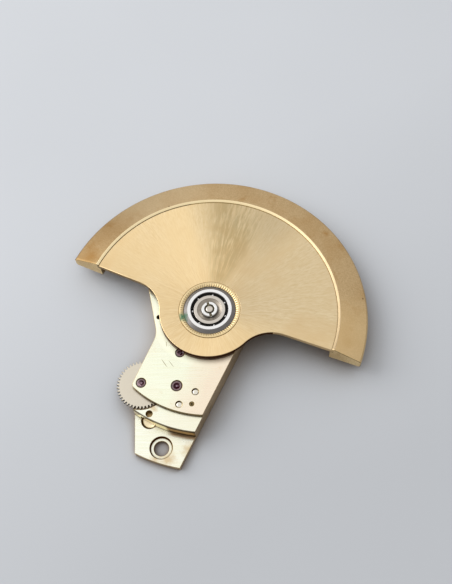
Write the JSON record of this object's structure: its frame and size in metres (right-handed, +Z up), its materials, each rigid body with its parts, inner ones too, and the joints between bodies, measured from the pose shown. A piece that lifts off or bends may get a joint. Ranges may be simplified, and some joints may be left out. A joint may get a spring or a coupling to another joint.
{
  "type": "automatic watch rotor",
  "caption": "Half-moon winding rotor on a ball bearing, with its self-winding bridge, jewelled train and stepped screw foot.",
  "frame": {"origin": "on the rotor's axis, at the underside of the base plate", "axes": "+Z is up along the rotor's axis, +Y runs along the middle of the half-moon rotor at rest"},
  "size_m": [0.0256, 0.0254, 0.0028],
  "materials": {
    "gilt_sunburst": "gilt brass, brushed in rays from the hub",
    "gilt_satin": "gilt brass, satin, with a bright inner bevel",
    "gilt_polished": "gilt brass, turned bright",
    "gilt_brushed": "pale gilt brass, brushed straight",
    "gilt_screw": "steel screws with a warm tint",
    "polished_steel": "polished steel",
    "turned_steel": "turned steel",
    "hardened_steel": "pale steel, fine grained",
    "blackened_steel": "dark oiled steel",
    "ruby": "polished synthetic ruby"
  },
  "bodies": {
    "bridge": {"base_plate": "gilt_brushed", "upper_bridge": "gilt_brushed", "centre_post": "turned_steel", "bearing_lower_cone": "turned_steel", "bearing_upper_cone": "turned_steel", "ring_nut": "polished_steel", "upper_jewels": "ruby", "lower_jewels": "ruby", "bridge_screws": "gilt_screw", "steady_pins": "hardened_steel"},
    "rotor": {"rotor_plate": "gilt_sunburst", "rotor_rim": "gilt_satin", "rotor_bush": "gilt_polished", "rotor_gear": "hardened_steel", "bearing_outer_ring": "polished_steel"},
    "ball_train": {"ball_cage": "blackened_steel", "bearing_balls": "polished_steel"},
    "reverser_input": {"reverser_input_wheel": "hardened_steel", "reverser_pawls": "hardened_steel"},
    "reverser_output": {"reverser_output_wheel": "hardened_steel", "reverser_ratchet": "hardened_steel", "reverser_arbor": "hardened_steel"},
    "intermediate": {"intermediate_arbor": "hardened_steel", "intermediate_lower_pinion": "hardened_steel", "intermediate_upper_pinion": "hardened_steel"},
    "winding": {"winding_wheel": "hardened_steel", "winding_pinion": "hardened_steel"}
  },
  "joints": [
    {"name": "rotor_spin", "type": "hinge", "parent": "bridge", "child": "rotor", "pos_m": [0, 0, 0], "axis": [0, 0, 1], "continuous": true},
    {"name": "ball_train_spin", "type": "hinge", "parent": "bridge", "child": "ball_train", "pos_m": [0, 0, 0], "axis": [0, 0, 1], "continuous": true},
    {"name": "reverser_input_spin", "type": "hinge", "parent": "bridge", "child": "reverser_input", "pos_m": [-0.00082, -0.00412, 0], "axis": [0, 0, 1], "continuous": true},
    {"name": "reverser_output_spin", "type": "hinge", "parent": "bridge", "child": "reverser_output", "pos_m": [-0.00082, -0.00412, 0], "axis": [0, 0, 1], "continuous": true},
    {"name": "intermediate_spin", "type": "hinge", "parent": "bridge", "child": "intermediate", "pos_m": [0.00009, -0.00676, 0], "axis": [0, 0, 1], "continuous": true},
    {"name": "winding_spin", "type": "hinge", "parent": "bridge", "child": "winding", "pos_m": [-0.00262, -0.00759, 0], "axis": [0, 0, 1], "continuous": true}
  ],
  "couplings": [
    {"joint": "ball_train_spin", "follows": "rotor_spin", "ratio": 0.56105},
    {"joint": "reverser_input_spin", "follows": "rotor_spin", "ratio": -1.2326},
    {"joint": "reverser_output_spin", "follows": "rotor_spin", "ratio": -1.2326},
    {"joint": "intermediate_spin", "follows": "rotor_spin", "ratio": 2.5238},
    {"joint": "winding_spin", "follows": "rotor_spin", "ratio": -1.2045}
  ]
}
